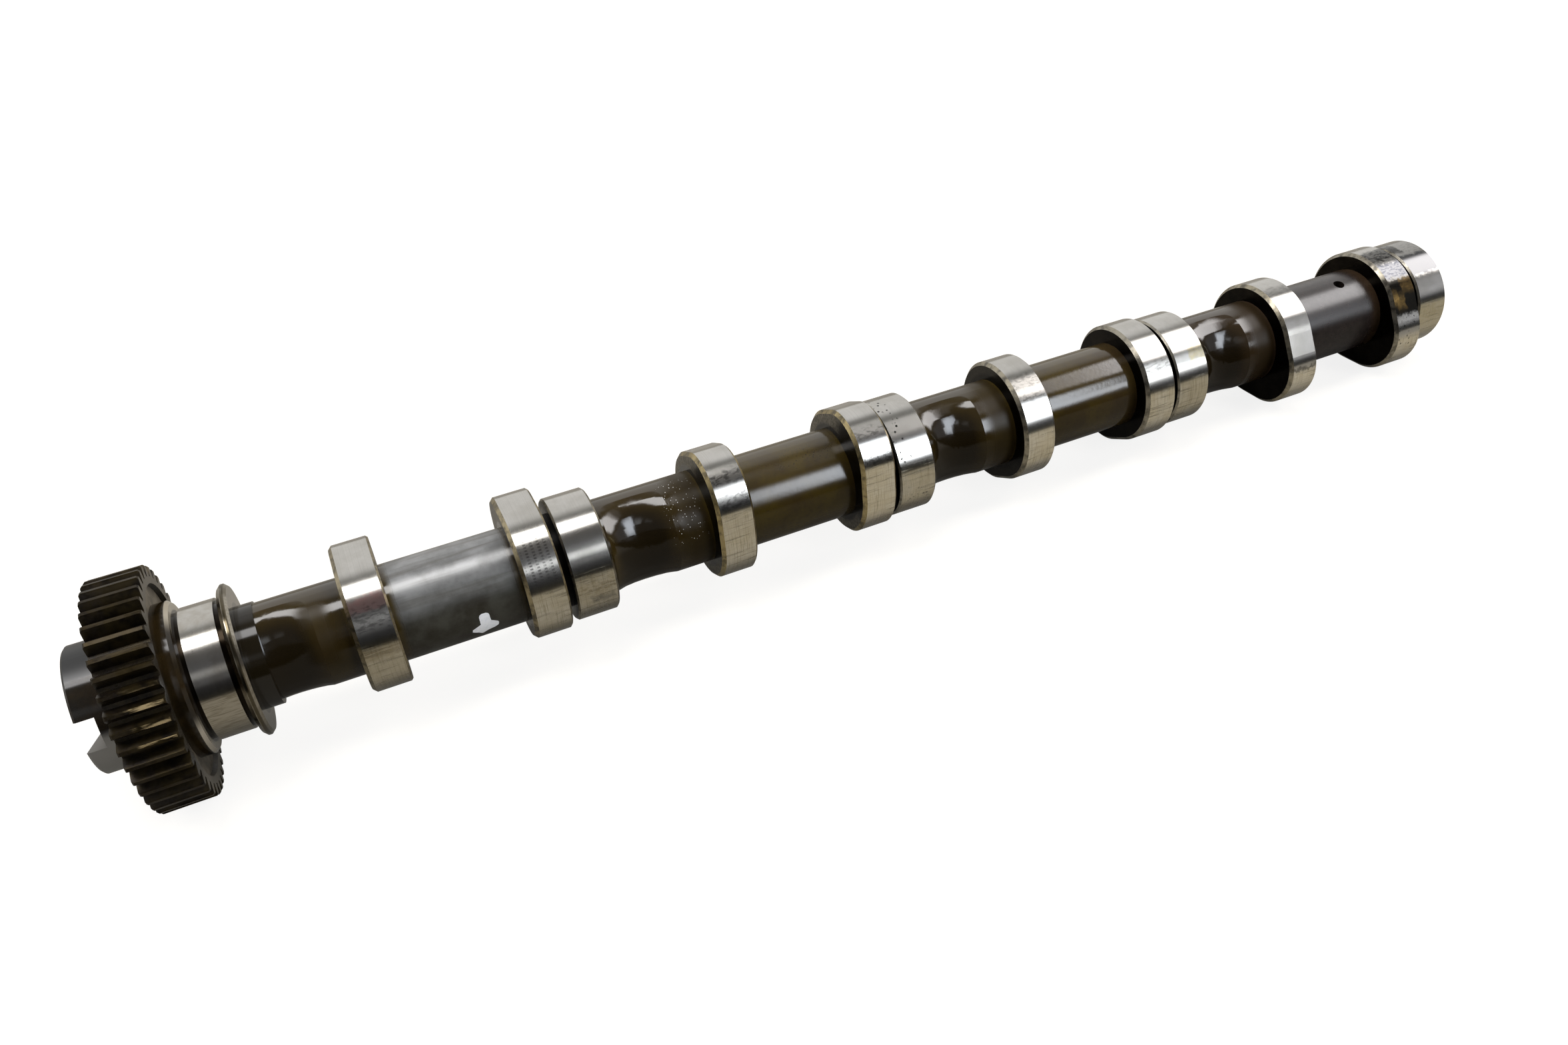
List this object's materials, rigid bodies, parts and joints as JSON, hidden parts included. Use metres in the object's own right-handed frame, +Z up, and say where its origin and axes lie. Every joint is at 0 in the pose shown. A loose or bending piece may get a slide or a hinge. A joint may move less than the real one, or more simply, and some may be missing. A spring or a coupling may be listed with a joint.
{
  "type": "camshaft",
  "caption": "Assembled engine camshaft: tube with pressed-on bevelled cam lobes and ground bearing journals, flanged thrust journal, spur gear and slotted drive dog.",
  "frame": {"origin": "centre of the thrust journal, on the shaft's axis", "axes": "+X along the shaft from the gear end to the plain end, +Z up as the shaft comes to rest on a flat surface"},
  "size_m": [0.3838, 0.055, 0.055],
  "materials": {
    "tube": "oil-stained steel tube, satin to glossy",
    "turned_steel": "turned steel with oil stains",
    "oiled_steel": "dark oily steel",
    "ground_steel": "ground running surface"
  },
  "bodies": {
    "root": {"shaft_tube": "tube", "drive_end": "turned_steel", "timing_gear": "oiled_steel", "end_plug": "turned_steel", "journal_1": "ground_steel", "journal_2": "ground_steel", "journal_3": "ground_steel", "journal_4": "ground_steel", "cam_lobe_1": "ground_steel", "cam_lobe_2": "ground_steel", "cam_lobe_3": "ground_steel", "cam_lobe_4": "ground_steel", "cam_lobe_5": "ground_steel", "cam_lobe_6": "ground_steel", "cam_lobe_7": "ground_steel", "cam_lobe_8": "ground_steel"}
  },
  "joints": []
}
